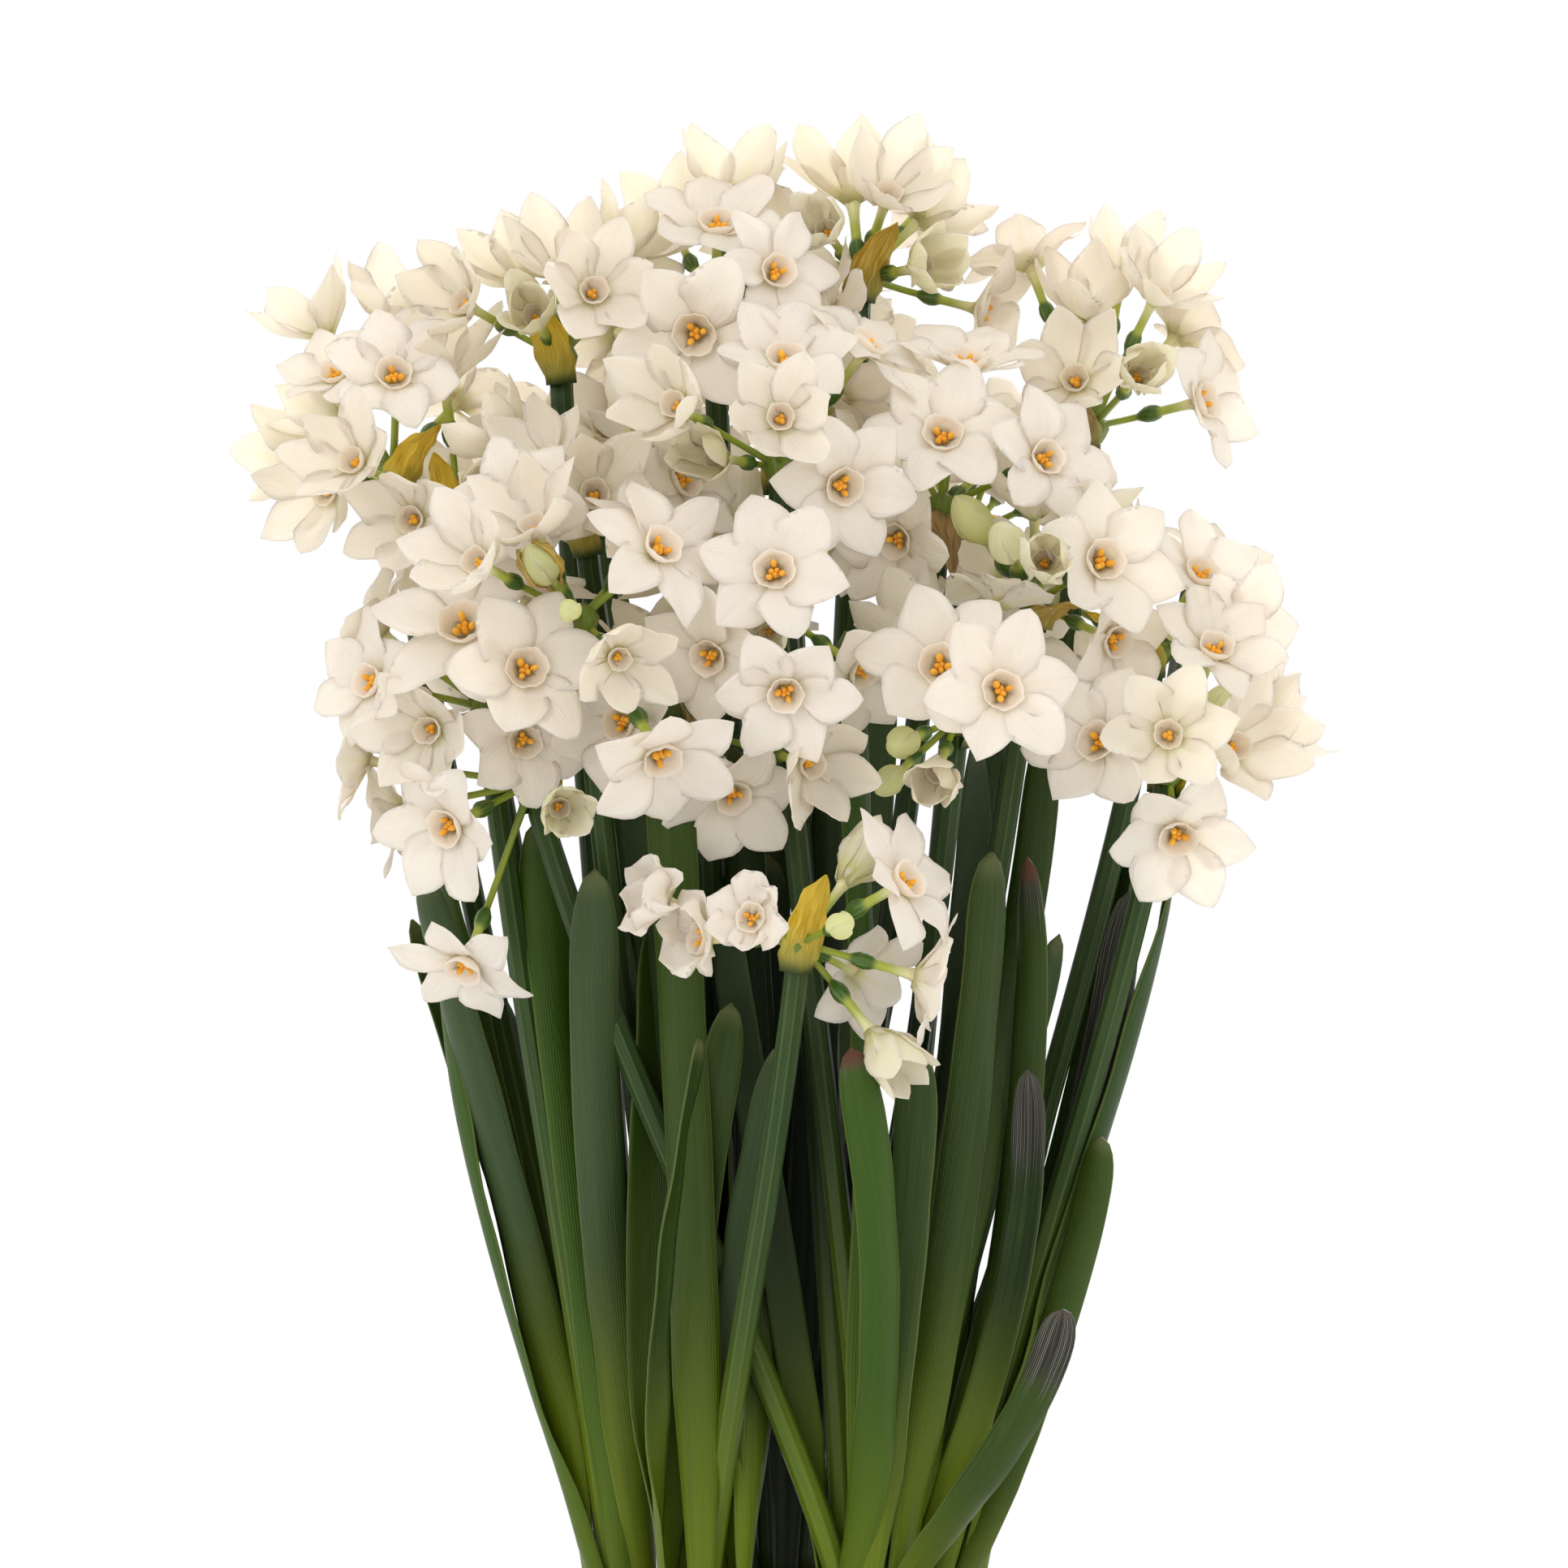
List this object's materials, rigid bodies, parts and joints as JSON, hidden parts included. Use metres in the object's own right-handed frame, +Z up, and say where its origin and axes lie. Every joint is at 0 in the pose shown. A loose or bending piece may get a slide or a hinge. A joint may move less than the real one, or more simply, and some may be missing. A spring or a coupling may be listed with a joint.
{
  "type": "potted paperwhite narcissus",
  "caption": "Round pot of paperwhite narcissus: bulbs in soil carry strap leaves and bare stalks that fan out under a dome of small white clustered flowers",
  "frame": {"origin": "centre of the pot's flat bottom face, where it stands", "axes": "+Z up along the plant, -Y towards the front of the flower dome, +X to its right as seen from the front"},
  "size_m": [0.2855, 0.2137, 0.5271],
  "materials": {
    "pot": "satin",
    "soil": "matte",
    "tunic": "satin",
    "leaf": "satin",
    "stalk": "satin",
    "petal": "matte",
    "spathe": "satin",
    "anther": "matte"
  },
  "bodies": {
    "root": {"pot": "pot", "soil": "soil", "bulb_1": "tunic", "bulb_2": "tunic", "bulb_3": "tunic", "bulb_4": "tunic", "bulb_5": "tunic", "bulb_6": "tunic", "bulb_7": "tunic", "leaves_1": "leaf", "leaves_2": "leaf", "leaves_3": "leaf", "leaves_4": "leaf", "leaves_5": "leaf", "leaves_6": "leaf", "leaves_7": "leaf", "scape_01": "stalk", "scape_02": "stalk", "scape_03": "stalk", "scape_04": "stalk", "scape_05": "stalk", "scape_06": "stalk", "scape_07": "stalk", "scape_08": "stalk", "scape_09": "stalk", "scape_10": "stalk", "scape_11": "stalk", "scape_12": "stalk", "scape_13": "stalk", "scape_14": "stalk", "scape_15": "stalk", "scape_16": "stalk", "scape_17": "stalk", "scape_18": "stalk", "scape_19": "stalk", "scape_20": "stalk", "scape_21": "stalk", "scape_22": "stalk", "head_01": "petal", "head_02": "petal", "head_03": "petal", "head_04": "petal", "head_05": "petal", "head_06": "petal", "head_07": "petal", "head_08": "petal", "head_09": "petal", "head_10": "petal", "head_11": "petal", "head_12": "petal", "head_13": "petal", "head_14": "petal", "head_15": "petal", "head_16": "petal", "head_17": "petal", "head_18": "petal", "head_19": "petal", "head_20": "petal", "head_21": "petal", "head_22": "petal"}
  },
  "joints": []
}
